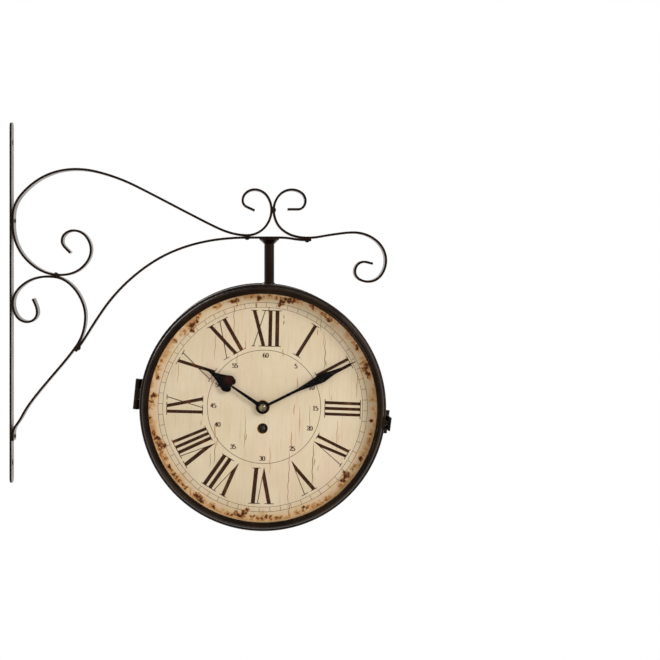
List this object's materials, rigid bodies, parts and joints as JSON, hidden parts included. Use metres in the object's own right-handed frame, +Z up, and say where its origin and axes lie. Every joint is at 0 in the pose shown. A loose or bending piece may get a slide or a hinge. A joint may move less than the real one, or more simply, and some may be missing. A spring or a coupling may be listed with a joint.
{
  "type": "double sided station clock",
  "caption": "Double sided station clock: a round drum with a hinged, latched glazed dial at the front and a fixed one behind, hung by a post from a scrolled wall bracket.",
  "frame": {"origin": "middle of the back plate's wall face", "axes": "+X out from the wall, +Z up, the front dial faces -Y"},
  "size_m": [0.378, 0.0799, 0.4026],
  "materials": {
    "plate_iron": "satin dark brown black",
    "scroll_iron": "satin dark brown black",
    "rivet_iron": "satin dark brown black",
    "post_iron": "satin dark brown black",
    "bright_steel": "zinc plated",
    "screw_steel": "blackened",
    "band_iron": "satin dark brown black",
    "bezel_iron": "satin dark brown black",
    "hinge_iron": "satin dark brown black",
    "pin_steel": "darkened steel",
    "latch_iron": "satin dark brown black",
    "clear_glass": "clear",
    "spacer_cream": "matte",
    "dial_board": "aged cream print",
    "spring_steel": "spring steel",
    "movement_plastic": "matte black",
    "cell_jacket": "plain jacket",
    "contact_steel": "nickel plated",
    "brass_nut": "satin",
    "knob_plastic": "matte grey",
    "arbor_brass": "satin",
    "hand_black": "semi matte black",
    "cap_chrome": "polished"
  },
  "bodies": {
    "bracket": {"back_plate": "plate_iron", "bezel_screws": "screw_steel", "brace_strip": "scroll_iron", "bracket_rivets": "rivet_iron", "case_band": "band_iron", "case_rivets": "rivet_iron", "end_scroll": "scroll_iron", "hinge_case_leaf": "hinge_iron", "hinge_pin": "pin_steel", "latch_base": "latch_iron", "latch_pin": "pin_steel", "lower_scroll": "scroll_iron", "post_bolt": "bright_steel", "post_foot": "post_iron", "post_rose": "post_iron", "post_washer": "bright_steel", "rear_bezel": "bezel_iron", "rear_cell": "cell_jacket", "rear_cell_contacts": "contact_steel", "rear_dial": "dial_board", "rear_dial_nut": "brass_nut", "rear_glass": "clear_glass", "rear_movement": "movement_plastic", "rear_snap_ring": "spring_steel", "rear_spacer_ring": "spacer_cream", "suspension_post": "post_iron", "upper_scroll": "scroll_iron"},
    "front_door": {"front_bezel": "bezel_iron", "front_glass": "clear_glass", "front_spacer_ring": "spacer_cream", "front_dial": "dial_board", "front_snap_ring": "spring_steel", "front_movement": "movement_plastic", "front_cell": "cell_jacket", "front_cell_contacts": "contact_steel", "front_dial_nut": "brass_nut", "hinge_door_leaf": "hinge_iron", "latch_catch": "latch_iron"},
    "latch_hasp": {"latch_hasp": "latch_iron"},
    "front_minute": {"front_minute_arbor": "arbor_brass", "front_minute_hand": "hand_black", "front_hand_cap": "cap_chrome"},
    "front_hour": {"front_hour_tube": "arbor_brass", "front_hour_hand": "hand_black"},
    "front_knob": {"front_setting_knob": "knob_plastic"},
    "rear_minute": {"rear_minute_arbor": "arbor_brass", "rear_minute_hand": "hand_black", "rear_hand_cap": "cap_chrome"},
    "rear_hour": {"rear_hour_tube": "arbor_brass", "rear_hour_hand": "hand_black"},
    "rear_knob": {"rear_setting_knob": "knob_plastic"}
  },
  "joints": [
    {"name": "front_door_hinge", "type": "hinge", "parent": "bracket", "child": "front_door", "pos_m": [0.12809, -0.0213, -0.08947], "axis": [-0.0993, 0, -0.9951], "range_deg": [0, 110]},
    {"name": "latch_hasp_hinge", "type": "hinge", "parent": "bracket", "child": "latch_hasp", "pos_m": [0.37365, -0.012, -0.11765], "axis": [0.1288, 0, 0.9917], "range_deg": [0, 120]},
    {"name": "front_minute_spin", "type": "hinge", "parent": "front_door", "child": "front_minute", "pos_m": [0.25158, 0, -0.1018], "axis": [0, 1, 0], "continuous": true},
    {"name": "front_hour_spin", "type": "hinge", "parent": "front_door", "child": "front_hour", "pos_m": [0.25158, 0, -0.1018], "axis": [0, 1, 0], "continuous": true},
    {"name": "front_knob_spin", "type": "hinge", "parent": "front_door", "child": "front_knob", "pos_m": [0.25077, 0, -0.11577], "axis": [0, 1, 0], "continuous": true},
    {"name": "rear_minute_spin", "type": "hinge", "parent": "bracket", "child": "rear_minute", "pos_m": [0.25158, 0, -0.1018], "axis": [0, -1, 0], "continuous": true},
    {"name": "rear_hour_spin", "type": "hinge", "parent": "bracket", "child": "rear_hour", "pos_m": [0.25158, 0, -0.1018], "axis": [0, -1, 0], "continuous": true},
    {"name": "rear_knob_spin", "type": "hinge", "parent": "bracket", "child": "rear_knob", "pos_m": [0.25077, 0, -0.11577], "axis": [0, -1, 0], "continuous": true}
  ],
  "couplings": [
    {"joint": "front_hour_spin", "follows": "front_minute_spin", "ratio": 0.083333},
    {"joint": "front_knob_spin", "follows": "front_minute_spin", "ratio": -3},
    {"joint": "rear_hour_spin", "follows": "rear_minute_spin", "ratio": 0.083333},
    {"joint": "rear_knob_spin", "follows": "rear_minute_spin", "ratio": -3}
  ]
}
